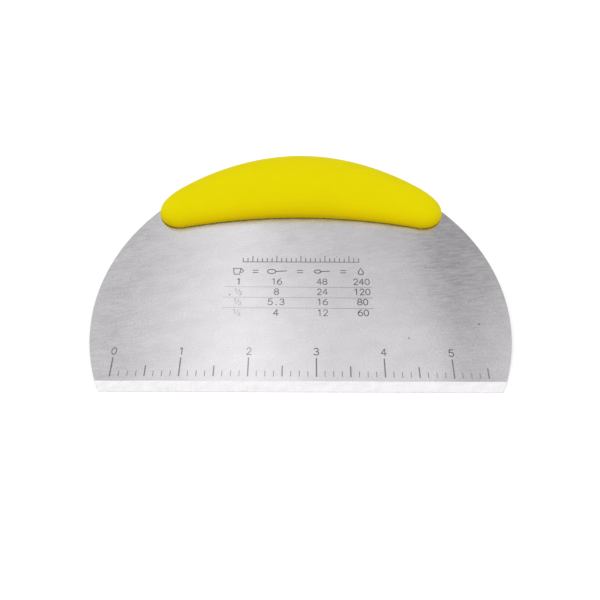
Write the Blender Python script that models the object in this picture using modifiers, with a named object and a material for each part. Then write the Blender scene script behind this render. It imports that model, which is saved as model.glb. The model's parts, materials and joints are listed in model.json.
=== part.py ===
# Pastry scraper: a half-moon steel blade with a soft grip moulded along its back.
# Every piece is modelled in the blade's own frame: X runs along the cutting edge, Y from the
# edge up to the grip, Z out of the front face, and Z = 0 is the middle of the steel.
# One parent empty leans that frame back, so that the scraper lies on its back on a table.

import math

import bmesh
import bpy
import numpy as np
from mathutils import Matrix

MM = 0.001

# Blade
BLADE_RADIUS = 81.8 * MM
BLADE_CENTRE_HEIGHT = 35.3 * MM  # the arc's centre above the cutting edge
BLADE_THICKNESS = 1.0 * MM
BEVEL_WIDTH = 4.1 * MM  # ground strip, measured up from the cutting edge
EDGE_THICKNESS = 0.3 * MM
EDGE_CORNER_RADIUS = 0.8 * MM
BLADE_ARC_STEP = math.radians(2.6)

# Grip outline, seen from the front: a top arc, two round lobes and a hollow underside
GRIP_COVER = 4.1 * MM  # grip above the top of the blade's arc
GRIP_HEIGHT = 36.9 * MM  # top to underside, at the middle
LOBE_RADIUS = 9.5 * MM
LOBE_DROP = 33.4 * MM  # from the grip's top down to the lobes' centres
LOBE_INSET = 7.7 * MM  # from the blade's arc in to the lobes' centres

# Grip section
GRIP_THICKNESS = 18.0 * MM  # at the middle
LOBE_THICKNESS = 13.6 * MM
SECTION_EXPONENT = 2.4  # 2 would be an ellipse

# Layers under the surface
CLEARANCE = 0.3 * MM
SKIN_THICKNESS = 2.0 * MM
CORE_WALL = 2.2 * MM
CORE_RIM = 4.2 * MM  # solid edge of the core, around its hollow
RIB_THICKNESS = 1.6 * MM
RIBS_PER_SPAN = 2  # between the middle rivet and an outer one

# Tang
TANG_COVER = 5.0 * MM  # from the grip's outline in to the tang's top edge
TANG_END_MARGIN = 2.3 * MM  # from a lobe's centre in to the tang's end
SHOULDER_DEPTH = 1.3 * MM  # from where the blade's arc enters a lobe up to its shoulder
TANG_CORNER_RADIUS = 2.5 * MM
SHOULDER_RADIUS = 1.2 * MM
FACE_MARGIN = 2.0 * MM  # flat steel left clear under the lobes

# Rivets
RIVET_SHANK_DIAMETER = 3.6 * MM
RIVET_HEAD_DIAMETER = 7.0 * MM
RIVET_HEAD_THICKNESS = 0.9 * MM
RIVET_DOME = 0.4 * MM
RIVET_RECESS = 0.2 * MM  # from the core's surface down to the dome
RIVET_END_MARGIN = 17.0 * MM  # from the tang's end in to an outer rivet
BOSS_WALL = 2.0 * MM

# Facets
CORNER_STEPS = 5
GRIP_SEGMENTS = 36
GRIP_RINGS = 44
CORE_SEGMENTS = 28
CORE_RINGS = 36
HOLLOW_SEGMENTS = 20
HOLLOW_RINGS = 28
RIVET_STEPS = 24
DOME_STEPS = 3
MIDDLE_SHARE = 0.5  # share of the rings that lie between the lobes' centres
OVERSIZE = 2.0 * MM  # how far a cutter reaches past what it cuts
WELD = 0.001 * MM


def grip_frame():
    """Centres of the lobes and of the two long arcs, which touch the lobes' circles."""
    top = BLADE_CENTRE_HEIGHT + BLADE_RADIUS + GRIP_COVER
    bottom = top - GRIP_HEIGHT
    lobe_y = top - LOBE_DROP
    reach = BLADE_RADIUS - LOBE_INSET
    lobe_x = math.sqrt(reach**2 - (lobe_y - BLADE_CENTRE_HEIGHT) ** 2)
    inner_top = top - LOBE_RADIUS
    top_centre = (inner_top**2 - lobe_x**2 - lobe_y**2) / (2 * (inner_top - lobe_y))
    rise = lobe_y - bottom
    bottom_radius = (lobe_x**2 + rise**2 - LOBE_RADIUS**2) / (2 * (LOBE_RADIUS - rise))
    return {
        "lobe": (lobe_x, lobe_y),
        "top_centre": top_centre,
        "top_radius": top - top_centre,
        "bottom_centre": bottom - bottom_radius,
        "bottom_radius": bottom_radius,
    }


FRAME = grip_frame()


def section_edges(x, inset):
    """Top and bottom heights of the outline at x, moved in by inset."""
    lobe_x, lobe_y = FRAME["lobe"]
    top_radius = FRAME["top_radius"] - inset
    bottom_radius = FRAME["bottom_radius"] + inset
    lobe_radius = LOBE_RADIUS - inset
    x = abs(x)
    lobe_rise = math.sqrt(max(lobe_radius**2 - (x - lobe_x) ** 2, 0.0))
    top = lobe_y + lobe_rise
    bottom = lobe_y - lobe_rise
    if x < lobe_x * top_radius / (top_radius - lobe_radius):
        top = FRAME["top_centre"] + math.sqrt(top_radius**2 - x**2)
    if x < lobe_x * bottom_radius / (bottom_radius + lobe_radius):
        bottom = FRAME["bottom_centre"] + math.sqrt(bottom_radius**2 - x**2)
    return top, bottom


def half_thickness(x, inset, wall):
    """Half the grip's thickness at x less wall: it swells to the middle and rounds off at the ends."""
    lobe_x = FRAME["lobe"][0]
    x = abs(x)
    if x < lobe_x:
        swell = (GRIP_THICKNESS - LOBE_THICKNESS) / 2 * math.cos(math.pi * x / (2 * lobe_x)) ** 2
        return LOBE_THICKNESS / 2 + swell - wall
    reach = min((x - lobe_x) / (LOBE_RADIUS - inset), 1.0)
    return (LOBE_THICKNESS / 2 - wall) * math.sqrt(1 - reach**2)


def spine(x):
    return sum(section_edges(x, 0.0)) / 2


def tang_half_width():
    return FRAME["lobe"][0] - TANG_END_MARGIN


def rivet_places():
    """Name and x of each rivet."""
    outer = tang_half_width() - RIVET_END_MARGIN
    return {"left": -outer, "middle": 0.0, "right": outer}


def seat_height(x):
    """Distance from the middle plane to the floor that a rivet's head sits on."""
    surface = half_thickness(x, 0.0, SKIN_THICKNESS + CLEARANCE)
    return surface - RIVET_RECESS - RIVET_DOME - RIVET_HEAD_THICKNESS - CLEARANCE


def new_collection(name):
    collection = bpy.data.collections.new(name)
    bpy.context.scene.collection.children.link(collection)
    return collection


def clear_scene():
    for obj in list(bpy.data.objects):
        bpy.data.objects.remove(obj, do_unlink=True)


def material(name, colour, roughness, metallic):
    made = bpy.data.materials.new(name)
    made.use_nodes = True
    shader = made.node_tree.nodes["Principled BSDF"]
    shader.inputs["Base Color"].default_value = (*colour, 1.0)
    shader.inputs["Roughness"].default_value = roughness
    shader.inputs["Metallic"].default_value = metallic
    made.diffuse_color = (*colour, 1.0)
    return made


def mesh_from(bm, name):
    bm.normal_update()
    bmesh.ops.recalc_face_normals(bm, faces=bm.faces)
    mesh = bpy.data.meshes.new(name)
    bm.to_mesh(mesh)
    bm.free()
    return mesh


def add_part(name, mesh, finish, smooth_angle):
    obj = bpy.data.objects.new(name, mesh)
    obj.parent = root
    parts.objects.link(obj)
    mesh.materials.append(finish)
    mesh.shade_smooth()
    mesh.set_sharp_from_angle(angle=smooth_angle)
    return obj


def add_cutter(name, mesh):
    obj = bpy.data.objects.new(name, mesh)
    obj.parent = root
    obj.hide_render = True
    obj.display_type = "WIRE"
    cutters.objects.link(obj)
    return obj


def cut(obj, cutter, solver="EXACT"):
    boolean = obj.modifiers.new(cutter.name, "BOOLEAN")
    boolean.object = cutter
    boolean.operation = "DIFFERENCE"
    boolean.solver = solver


def box_mesh(name, low, high):
    bm = bmesh.new()
    bmesh.ops.create_cube(bm, size=1.0)
    size = [b - a for a, b in zip(low, high)]
    middle = [(a + b) / 2 for a, b in zip(low, high)]
    bmesh.ops.transform(bm, matrix=Matrix.Diagonal((*size, 1.0)), verts=bm.verts)
    bmesh.ops.translate(bm, vec=middle, verts=bm.verts)
    return mesh_from(bm, name)


def cylinder_mesh(name, radius, x, y, bottom, top):
    bm = bmesh.new()
    bmesh.ops.create_cone(
        bm,
        cap_ends=True,
        segments=RIVET_STEPS,
        radius1=radius,
        radius2=radius,
        depth=top - bottom,
    )
    bmesh.ops.translate(bm, vec=(x, y, (top + bottom) / 2), verts=bm.verts)
    return mesh_from(bm, name)


def arc(centre, radius, start, end, step):
    """Points along an arc, both ends included."""
    count = max(2, math.ceil(abs(end - start) / step))
    angles = np.linspace(start, end, count + 1)
    return [(centre[0] + radius * math.cos(a), centre[1] + radius * math.sin(a)) for a in angles]


def rounded(before, corner, after, radius):
    """The corner as an arc that touches both of its sides."""
    corner = np.array(corner)
    back = np.array(before) - corner
    ahead = np.array(after) - corner
    back /= np.linalg.norm(back)
    ahead /= np.linalg.norm(ahead)
    half = math.acos(float(np.clip(back @ ahead, -1.0, 1.0))) / 2
    middle = back + ahead
    middle /= np.linalg.norm(middle)
    centre = corner + middle * radius / math.sin(half)
    sweep = math.pi / 2 - half
    side = np.array((-middle[1], middle[0]))
    turn = 1 if side @ back > 0 else -1
    angles = np.linspace(turn * sweep, -turn * sweep, CORNER_STEPS + 1)
    return [tuple(centre - radius * (middle * math.cos(a) - side * math.sin(a))) for a in angles]


def arc_entry():
    """Height at which the blade's arc runs into a lobe."""
    lobe = np.array(FRAME["lobe"])
    centre = np.array((0.0, BLADE_CENTRE_HEIGHT))
    span = float(np.linalg.norm(lobe - centre))
    along = (span**2 + BLADE_RADIUS**2 - LOBE_RADIUS**2) / (2 * span)
    across = math.sqrt(max(BLADE_RADIUS**2 - along**2, 0.0))
    unit = (lobe - centre) / span
    return float(centre[1] + along * unit[1] - across * unit[0])


def flat_top():
    """Height of the line across the blade's faces, clear of the lobes above it."""
    return FRAME["lobe"][1] - LOBE_RADIUS - FACE_MARGIN


def blade_outline(grow):
    """Right half of the blade's outline from the cutting edge to the tang's top, then the left half.
    grow moves it outwards, for the slot that the blade sits in."""
    centre = (0.0, BLADE_CENTRE_HEIGHT)
    radius = BLADE_RADIUS + grow
    edge_y = -grow
    shoulder_y = arc_entry() + SHOULDER_DEPTH + grow
    tang_x = tang_half_width() + grow
    tang_radius = FRAME["top_radius"] - TANG_COVER + grow
    tang_centre = (0.0, FRAME["top_centre"])
    low, split, high = (
        math.asin((y - BLADE_CENTRE_HEIGHT) / radius) for y in (edge_y, flat_top(), shoulder_y)
    )
    side = arc(centre, radius, low, split, BLADE_ARC_STEP)
    side += arc(centre, radius, split, high, BLADE_ARC_STEP)[1:]
    tang_start = math.acos(tang_x / tang_radius)
    crown = arc(tang_centre, tang_radius, tang_start, math.pi / 2, BLADE_ARC_STEP)
    notch = (tang_x, shoulder_y)
    half = rounded((0.0, edge_y), side[0], side[1], EDGE_CORNER_RADIUS + grow)
    half += side[1:-1]
    half += rounded(side[-2], side[-1], notch, SHOULDER_RADIUS + grow)
    half += rounded(side[-1], notch, crown[0], SHOULDER_RADIUS - grow)
    half += rounded(notch, crown[0], crown[1], TANG_CORNER_RADIUS + grow)
    half += crown[1:]
    return half + [(-x, y) for x, y in reversed(half[:-1])]


def plate_mesh(name, outline, thickness):
    """A flat plate from its outline, by way of a filled curve."""
    curve = bpy.data.curves.new(name, "CURVE")
    curve.dimensions = "2D"
    curve.fill_mode = "BOTH"
    curve.extrude = thickness / 2
    spline = curve.splines.new("POLY")
    spline.points.add(len(outline) - 1)
    for point, (x, y) in zip(spline.points, outline):
        point.co = (x, y, 0.0, 1.0)
    spline.use_cyclic_u = True
    guide = bpy.data.objects.new(name, curve)
    cutters.objects.link(guide)
    graph = bpy.context.evaluated_depsgraph_get()
    mesh = bpy.data.meshes.new_from_object(guide.evaluated_get(graph))
    bpy.data.objects.remove(guide, do_unlink=True)
    bm = bmesh.new()
    bm.from_mesh(mesh)
    bmesh.ops.remove_doubles(bm, verts=bm.verts, dist=WELD)
    bm.to_mesh(mesh)
    bm.free()
    return mesh


def split_faces(mesh, height):
    """A line of edges across both faces at this height."""
    bm = bmesh.new()
    bm.from_mesh(mesh)
    everything = bm.verts[:] + bm.edges[:] + bm.faces[:]
    bmesh.ops.bisect_plane(bm, geom=everything, dist=WELD, plane_co=(0, height, 0), plane_no=(0, 1, 0))
    bm.to_mesh(mesh)
    bm.free()


def bevel_cutter():
    """A block whose underside is the plane of the ground strip."""
    reach = BLADE_RADIUS + OVERSIZE
    slope = math.atan2(BLADE_THICKNESS - EDGE_THICKNESS, BEVEL_WIDTH)
    mesh = box_mesh("edge_grind", (-reach, -reach, 0.0), (reach, 0.0, BLADE_THICKNESS + OVERSIZE))
    mesh.transform(Matrix.Rotation(slope, 4, "X"))
    mesh.transform(Matrix.Translation((0.0, BEVEL_WIDTH, BLADE_THICKNESS / 2)))
    return add_cutter("edge_grind", mesh)


def grip_form(name, inset, wall, segments, rings):
    """The grip's shape moved in by inset in outline and by wall in thickness.
    A sphere with its poles on X is mapped to it: rings of latitude become upright sections."""
    lobe_x = FRAME["lobe"][0]
    turn_start = MIDDLE_SHARE * math.pi / 2
    bm = bmesh.new()
    bmesh.ops.create_uvsphere(bm, u_segments=segments, v_segments=rings, radius=1.0)
    for vert in bm.verts:
        latitude = math.asin(max(-1.0, min(1.0, vert.co.z)))
        longitude = math.atan2(vert.co.y, vert.co.x)
        if abs(latitude) < turn_start:
            x = lobe_x * abs(latitude) / turn_start
        else:
            turn = (abs(latitude) - turn_start) / (math.pi / 2 - turn_start) * math.pi / 2
            x = lobe_x + (LOBE_RADIUS - inset) * math.sin(turn)
        x = math.copysign(x, latitude)
        top, bottom = section_edges(x, inset)
        rise = math.copysign(abs(math.sin(longitude)) ** (2 / SECTION_EXPONENT), math.sin(longitude))
        out = math.copysign(abs(math.cos(longitude)) ** (2 / SECTION_EXPONENT), math.cos(longitude))
        y = (top + bottom) / 2 + (top - bottom) / 2 * rise
        vert.co = (x, y, half_thickness(x, inset, wall) * out)
    return mesh_from(bm, name)


def rivet_mesh(name, x):
    """A turned rivet, shank on Z, with a low dome on each head."""
    seat = seat_height(x) + CLEARANCE
    shank = RIVET_SHANK_DIAMETER / 2
    head = RIVET_HEAD_DIAMETER / 2
    rim = seat + RIVET_HEAD_THICKNESS
    angles = np.linspace(0.0, math.pi / 2, DOME_STEPS + 1)
    upper = [(head * math.sin(a), rim + RIVET_DOME * math.cos(a)) for a in angles]
    upper += [(head, seat), (shank, seat)]
    profile = upper + [(r, -z) for r, z in reversed(upper)]
    mesh = bpy.data.meshes.new(name)
    edges = [(i, i + 1) for i in range(len(profile) - 1)]
    mesh.from_pydata([(r, 0.0, z) for r, z in profile], edges, [])
    return mesh


def add_rivet(side, x):
    obj = bpy.data.objects.new(f"rivet_{side}", rivet_mesh(f"rivet_{side}", x))
    obj.parent = root
    obj.location = (x, spine(x), 0.0)
    obj.data.materials.append(steel_pin)
    parts.objects.link(obj)
    screw = obj.modifiers.new("turn", "SCREW")
    screw.steps = RIVET_STEPS
    screw.render_steps = RIVET_STEPS
    screw.use_merge_vertices = True
    screw.merge_threshold = WELD
    screw.use_smooth_shade = True
    return obj


def make_blade():
    mesh = plate_mesh("blade", blade_outline(0.0), BLADE_THICKNESS)
    split_faces(mesh, flat_top())
    blade = add_part("blade", mesh, steel, math.radians(5))
    cut(blade, bevel_cutter())
    for hole in tang_holes:
        cut(blade, hole)
    return blade


def make_core(side, facing):
    """One half of the rigid core: facing is 1 for the front half and -1 for the rear half."""
    inset = SKIN_THICKNESS + CLEARANCE
    core = add_part(
        f"core_{side}",
        grip_form(f"core_{side}", inset, inset, CORE_SEGMENTS, CORE_RINGS),
        core_plastic,
        math.radians(35),
    )
    reach = BLADE_RADIUS + GRIP_HEIGHT
    seam = facing * CLEARANCE / 2
    far = -facing * GRIP_THICKNESS
    away = box_mesh(
        f"beyond_{side}", (-reach, 0.0, min(seam, far)), (reach, 2 * reach, max(seam, far))
    )
    cut(core, add_cutter(f"beyond_{side}", away))
    for cutter in [blade_slot, core_hollow] + rivet_bores + rivet_seats[side]:
        cut(core, cutter, "MANIFOLD")
    return core


def make_grip():
    grip = add_part(
        "grip",
        grip_form("grip", 0.0, 0.0, GRIP_SEGMENTS, GRIP_RINGS),
        soft_rubber,
        math.radians(40),
    )
    inside = grip_form("grip_inside", SKIN_THICKNESS, SKIN_THICKNESS, CORE_SEGMENTS, CORE_RINGS)
    cut(grip, add_cutter("grip_inside", inside))
    cut(grip, blade_slot)
    return grip


def make_hollow():
    """The space inside the core, crossed by ribs and by a boss around each rivet."""
    outer_inset = SKIN_THICKNESS + CLEARANCE
    hollow = add_cutter(
        "core_hollow",
        grip_form(
            "core_hollow",
            outer_inset + CORE_RIM,
            outer_inset + CORE_WALL,
            HOLLOW_SEGMENTS,
            HOLLOW_RINGS,
        ),
    )
    outer_rivet = rivet_places()["right"]
    pitch = outer_rivet / (RIBS_PER_SPAN + 1)
    numbers = [n for n in range(1, RIBS_PER_SPAN + 3) if n != RIBS_PER_SPAN + 1]
    top = BLADE_CENTRE_HEIGHT + BLADE_RADIUS + GRIP_COVER + OVERSIZE
    for n in [sign * number for number in numbers for sign in (-1, 1)]:
        low = (n * pitch - RIB_THICKNESS / 2, flat_top(), -GRIP_THICKNESS)
        high = (n * pitch + RIB_THICKNESS / 2, top, GRIP_THICKNESS)
        cut(hollow, add_cutter(f"rib_{n}", box_mesh(f"rib_{n}", low, high)))
    boss_radius = RIVET_SHANK_DIAMETER / 2 + CLEARANCE + BOSS_WALL
    for side, x in rivet_places().items():
        boss = cylinder_mesh(
            f"boss_{side}", boss_radius, x, spine(x), -GRIP_THICKNESS, GRIP_THICKNESS
        )
        cut(hollow, add_cutter(f"boss_{side}", boss))
    return hollow


def bores(name):
    """A hole around each rivet's shank, through everything that it crosses."""
    radius = RIVET_SHANK_DIAMETER / 2 + CLEARANCE
    return [
        add_cutter(
            f"{name}_{side}",
            cylinder_mesh(
                f"{name}_{side}", radius, x, spine(x), -GRIP_THICKNESS, GRIP_THICKNESS
            ),
        )
        for side, x in rivet_places().items()
    ]


def seats(side, facing):
    """A flat-bottomed recess for each rivet's head in one half of the core."""
    radius = RIVET_HEAD_DIAMETER / 2 + CLEARANCE
    made = []
    for place, x in rivet_places().items():
        ends = sorted((facing * seat_height(x), facing * GRIP_THICKNESS))
        name = f"seat_{side}_{place}"
        made.append(add_cutter(name, cylinder_mesh(name, radius, x, spine(x), *ends)))
    return made


def points_of(obj):
    """The finished mesh's points in the blade's frame, as the modifiers leave them."""
    evaluated = obj.evaluated_get(bpy.context.evaluated_depsgraph_get())
    mesh = evaluated.to_mesh()
    flat = np.empty(len(mesh.vertices) * 3)
    mesh.vertices.foreach_get("co", flat)
    evaluated.to_mesh_clear()
    return flat.reshape(-1, 3)


def lay_down(blade, grip):
    """Leans the frame back until the cutting edge and the back of the grip share one plane,
    and puts the origin under the middle of the whole."""
    steel_points = points_of(blade)
    grip_points = points_of(grip)
    contact = steel_points[np.lexsort((steel_points[:, 2], np.round(steel_points[:, 1], 6)))[0]]
    ahead = grip_points[:, 1] - contact[1]
    below = contact[2] - grip_points[:, 2]
    lean = float(np.max(np.arctan2(below, ahead)))
    both = np.vstack((steel_points, grip_points))
    along = both[:, 1] * math.cos(lean) - both[:, 2] * math.sin(lean)
    up = both[:, 1] * math.sin(lean) + both[:, 2] * math.cos(lean)
    root.rotation_euler = (lean, 0.0, 0.0)
    root.location = (0.0, -(along.min() + along.max()) / 2, -up.min())
    return lean


clear_scene()
parts = new_collection("pastry_scraper")
cutters = new_collection("cutters")
root = bpy.data.objects.new("scraper_root", None)
parts.objects.link(root)

steel = material("brushed_steel", (0.60, 0.60, 0.62), 0.34, 1.0)
steel_pin = material("rivet_steel", (0.55, 0.55, 0.56), 0.30, 1.0)
core_plastic = material("core_plastic", (0.70, 0.69, 0.66), 0.50, 0.0)
soft_rubber = material("soft_rubber", (0.79, 0.68, 0.004), 0.55, 0.0)

blade_slot = add_cutter(
    "blade_slot",
    plate_mesh("blade_slot", blade_outline(CLEARANCE), BLADE_THICKNESS + 2 * CLEARANCE),
)
tang_holes = bores("tang_hole")
rivet_bores = bores("core_bore")
rivet_seats = {"front": seats("front", 1), "rear": seats("rear", -1)}
core_hollow = make_hollow()

blade = make_blade()
make_core("front", 1)
make_core("rear", -1)
grip = make_grip()
for rivet_side, rivet_x in rivet_places().items():
    add_rivet(rivet_side, rivet_x)

lean = lay_down(blade, grip)
print(f"lies back by {math.degrees(lean):.2f} degrees")
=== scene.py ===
import json
import math

import bpy
import numpy as np
from mathutils import Matrix, Vector


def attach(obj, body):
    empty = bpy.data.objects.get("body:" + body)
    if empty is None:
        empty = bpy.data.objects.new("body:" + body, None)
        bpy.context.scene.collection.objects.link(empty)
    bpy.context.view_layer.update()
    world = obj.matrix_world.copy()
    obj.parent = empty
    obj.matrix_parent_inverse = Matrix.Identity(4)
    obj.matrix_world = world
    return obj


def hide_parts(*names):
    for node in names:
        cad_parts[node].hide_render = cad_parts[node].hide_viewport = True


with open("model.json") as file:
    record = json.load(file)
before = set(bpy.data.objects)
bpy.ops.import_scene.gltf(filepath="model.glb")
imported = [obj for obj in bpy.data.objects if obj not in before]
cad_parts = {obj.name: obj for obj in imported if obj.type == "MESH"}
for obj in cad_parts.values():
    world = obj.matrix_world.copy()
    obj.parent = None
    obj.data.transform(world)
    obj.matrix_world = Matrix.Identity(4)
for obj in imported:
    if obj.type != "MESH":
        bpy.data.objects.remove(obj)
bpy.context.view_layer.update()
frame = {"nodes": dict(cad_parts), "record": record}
scene = bpy.context.scene
scene.view_settings.view_transform = "Standard"
print("frame loaded:", ", ".join(sorted(frame["nodes"])))

# Shapes are worked out in millimetres in the blade's own frame: x along the cutting edge,
# y from the edge up to the grip, z out of the front face, z = 0 in the middle of the steel.
# The mount on the front face says where that frame lies.
millimetre = 0.001
mountSpot = Vector((0.0, 40.0, 0.5))  # the mount's place in it
frontFace = next(m for m in frame["record"]["mounts"] if m["name"] == "blade_front_face")
lean = math.atan2(-frontFace["axis"][1], frontFace["axis"][2])
leanTurn = Matrix.Rotation(lean, 3, "X")
frameOrigin = Vector(frontFace["pos_m"]) - leanTurn @ (mountSpot * millimetre)


def toWorld(points):
    # Turns the blade's frame back by the lean and moves it to its origin, in metres
    return np.asarray(points, float) @ np.array(leanTurn).T * millimetre + np.array(frameOrigin)


def gridQuads(rows, columns, closed=False, start=0):
    # Each quad joins a grid point to its neighbours in the next column and the next row
    row, column = np.mgrid[: rows - 1, : columns if closed else columns - 1]
    first, second = (row * columns + place for place in (column, (column + 1) % columns))
    quads = np.stack((first, second, second + columns, first + columns), axis=-1)
    return quads.reshape(-1, 4) + start


def buildMesh(name, points, faces, finishes, finishOf=None, mapName=None, mapUv=None):
    # Puts whole arrays into a mesh: points in the blade's frame, faces as lists of indices,
    # the number of each face's finish, and each point's place on the named map
    mesh = bpy.data.meshes.new(name)
    mesh.from_pydata(toWorld(points).tolist(), [], [list(face) for face in faces])
    for finish in finishes:
        mesh.materials.append(finish)
    if finishOf is not None:
        mesh.polygons.foreach_set("material_index", np.asarray(finishOf, np.int32))
    if mapName:
        corners = np.empty(len(mesh.loops), np.int32)
        mesh.loops.foreach_get("vertex_index", corners)
        layer = mesh.uv_layers.new(name=mapName)
        layer.data.foreach_set("uv", mapUv[corners].astype(np.float32).ravel())
    mesh.update()
    return mesh


def addField(mesh, name, values):
    # One number for each point, which a material can read
    layer = mesh.attributes.new(name, "FLOAT", "POINT")
    layer.data.foreach_set("value", np.asarray(values, np.float32))


def addObject(name, data):
    # A new object, linked into the scene
    thing = bpy.data.objects.new(name, data)
    scene.collection.objects.link(thing)
    return thing


sharpAngle = 50.0  # degrees between two faces from which the edge between them stays sharp


def addPiece(name, mesh):
    # A piece that is shaded smooth apart from its sharp edges
    piece = addObject(name, mesh)
    mesh.shade_smooth()
    mesh.set_sharp_from_angle(angle=math.radians(sharpAngle))
    return piece


def carve(piece, cutters):
    # Takes the cutters out of the piece, keeps the result as its mesh and drops the cutters
    for cutter in cutters:
        step = piece.modifiers.new(cutter.name, "BOOLEAN")
        step.object = cutter
        step.operation = "DIFFERENCE"
        step.solver = "EXACT"
    graph = bpy.context.evaluated_depsgraph_get()
    carved = bpy.data.meshes.new_from_object(
        piece.evaluated_get(graph), preserve_all_data_layers=True, depsgraph=graph
    )
    piece.modifiers.clear()
    piece.data = carved
    carved.set_sharp_from_angle(angle=math.radians(sharpAngle))
    for cutter in cutters:
        bpy.data.objects.remove(cutter, do_unlink=True)


def setInputs(node, inputs):
    # Inputs are given as values or as sockets to link from
    for key, value in inputs.items():
        if isinstance(value, bpy.types.NodeSocket):
            node.id_data.links.new(value, node.inputs[key])
        else:
            node.inputs[key].default_value = value


def addNode(tree, kind, inputs=None, **settings):
    # A node with its settings and its inputs
    node = tree.nodes.new("ShaderNode" + kind)
    for key, value in settings.items():
        setattr(node, key, value)
    setInputs(node, inputs or {})
    return node


def newFinish(name, sockets):
    # A material with one Principled shader, and its fixed numbers on the shader's own sockets
    finish = bpy.data.materials.new(name)
    finish.use_nodes = True
    shader = finish.node_tree.nodes["Principled BSDF"]
    setInputs(shader, sockets)
    return finish, finish.node_tree, shader


def mathOf(tree, operation, *values):
    # One sum, product or the like of values and fields
    return addNode(tree, "Math", dict(enumerate(values)), operation=operation).outputs[0]


noiseRoughness = 0.55
noiseSpan = (0.3, 0.7)  # nearly all of a noise's values lie in here


def noiseOver(tree, place, unit, lengths, shift=0.0, detail=3.0):
    # Noise whose features are about this long along each axis. unit is one texture unit in mm
    inputs = {"Vector": place, "Location": (shift,) * 3, "Scale": [unit / n for n in lengths]}
    spread = addNode(tree, "Mapping", inputs).outputs["Vector"]
    inputs = {"Vector": spread, "Scale": 1.0, "Detail": detail, "Roughness": noiseRoughness}
    return addNode(tree, "TexNoise", inputs).outputs["Fac"]


def noisesOf(tree, place, unit, look, *keys):
    # One noise for each key of the look
    return [noiseOver(tree, place, unit, *look[key]) for key in keys]


def sumOf(tree, parts):
    # Weighted sum of several fields
    total = mathOf(tree, "MULTIPLY", *parts[0])
    for field, weight in parts[1:]:
        total = mathOf(tree, "MULTIPLY_ADD", field, weight, total)
    return total


def mixOf(tree, first, second, share):
    # first + share * (second - first)
    return mathOf(tree, "MULTIPLY_ADD", share, mathOf(tree, "SUBTRACT", second, first), first)


def tintOf(tree, colour, tint):
    # One colour times the other
    return addNode(tree, "VectorMath", {0: colour, 1: tint}, operation="MULTIPLY").outputs[0]


def rangeOf(tree, field, fromLow, fromHigh, toLow=0.0, toHigh=1.0):
    # The field's first range stretched to the second one, and held at its ends
    inputs = {0: field, 1: fromLow, 2: fromHigh, 3: toLow, 4: toHigh}
    return addNode(tree, "MapRange", inputs).outputs[0]


def rampOf(tree, field, stops):
    # Colour by a field: stops are (value of the field, colour or grey)
    stops = list(stops)
    low, high = stops[0][0], stops[-1][0]
    node = addNode(tree, "ValToRGB", {"Fac": rangeOf(tree, field, low, high)})
    elements = node.color_ramp.elements
    while len(elements) < len(stops):
        elements.new(0.5)
    for element, (value, colour) in zip(elements, stops):
        element.position = (value - low) / (high - low)
        element.color = (*colour, 1.0) if hasattr(colour, "__len__") else (colour,) * 3 + (1.0,)
    return node.outputs["Color"]


camera = {
    "spot": (-0.32, -113.11, 215.30),  # in the blade's frame, mm
    "aim": (-0.32, 40.53, 0.62),
    "roll": 0.2,  # degrees, the picture's right side lower
    "focalPixels": 663.5,
    "pictureWidth": 600.0,
    "sensorWidth": 36.0,
    "clip": (0.005, 20.0),  # m
}


def aim(thing, spot, target, roll=0.0):
    # Puts a camera or a light at its spot, looking at the target and rolled by the degrees
    turn = (target - spot).to_track_quat("-Z", "Y").to_matrix()
    turn = turn @ Matrix.Rotation(math.radians(roll), 3, "Z")
    thing.matrix_world = Matrix.Translation(spot) @ turn.to_4x4()


def addCamera():
    # The lens is to the sensor's width as the focal length in pixels is to the picture's
    data = bpy.data.cameras.new("camera")
    data.sensor_width = camera["sensorWidth"]
    data.lens = data.sensor_width * camera["focalPixels"] / camera["pictureWidth"]
    data.clip_start, data.clip_end = camera["clip"]
    scene.camera = addObject("camera", data)
    spot, target = (Vector(toWorld(camera[key])) for key in ("spot", "aim"))
    aim(scene.camera, spot, target, camera["roll"])


studio = {
    "floorSize": 6.0,
    "floorSockets": {
        "Base Color": (0.80, 0.80, 0.80, 1.0),
        "Roughness": 0.9,
        "Specular IOR Level": 0.0,
        "Emission Color": (1.0, 1.0, 1.0, 1.0),
    },
    "floorGlow": 0.28,  # what the camera sees on top of the lit floor, so that it reads as white
    # the room behind: how far a direction leans right, and how bright it is there low down,
    # halfway and high up: a soft light left of the middle, a pale wall, a dim gap
    "across": (
        (-0.60, 0.60, 0.60, 0.60),
        (-0.37, 0.55, 0.54, 0.54),
        (-0.32, 0.43, 0.39, 0.41),
        (-0.28, 0.53, 0.54, 0.54),
        (-0.20, 0.66, 0.66, 0.66),
        (-0.14, 0.78, 0.80, 0.78),
        (-0.09, 0.84, 0.80, 0.79),
        (-0.06, 0.78, 0.73, 0.63),
        (-0.03, 0.72, 0.67, 0.59),
        (0.04, 0.65, 0.58, 0.53),
        (0.14, 0.62, 0.57, 0.51),
        (0.20, 0.63, 0.50, 0.45),
        (0.24, 0.65, 0.25, 0.32),
        (0.262, 0.43, 0.21, 0.30),
        (0.31, 0.49, 0.27, 0.31),
        (0.35, 0.60, 0.32, 0.34),
        (0.60, 0.60, 0.55, 0.55),
    ),
    # how far it leans back where low passes to halfway, and halfway to high
    "halfReach": (0.545, 0.59),
    "highReach": (0.64, 0.73),
    # and how bright the room is by how far it leans back
    "back": ((0.0, 1.0), (0.46, 1.0), (0.70, 0.86), (1.2, 0.65)),
    # overhead and in front the room is nearly even
    "front": ((-1.5, 0.66), (-0.5, 0.58), (0.0, 0.66)),
    "frontReach": (0.05, 0.25),
    "level": 1.55,
    "leastRise": 0.2,  # leans are taken for a height of at least this
    "whiteBelow": (0.40, 0.52),  # height of a direction where the plain backdrop ends
    "keySize": 0.7,
    "keyPower": 2.4,
    "keySpot": (-0.35, 0.15, 1.1),
}


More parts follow.
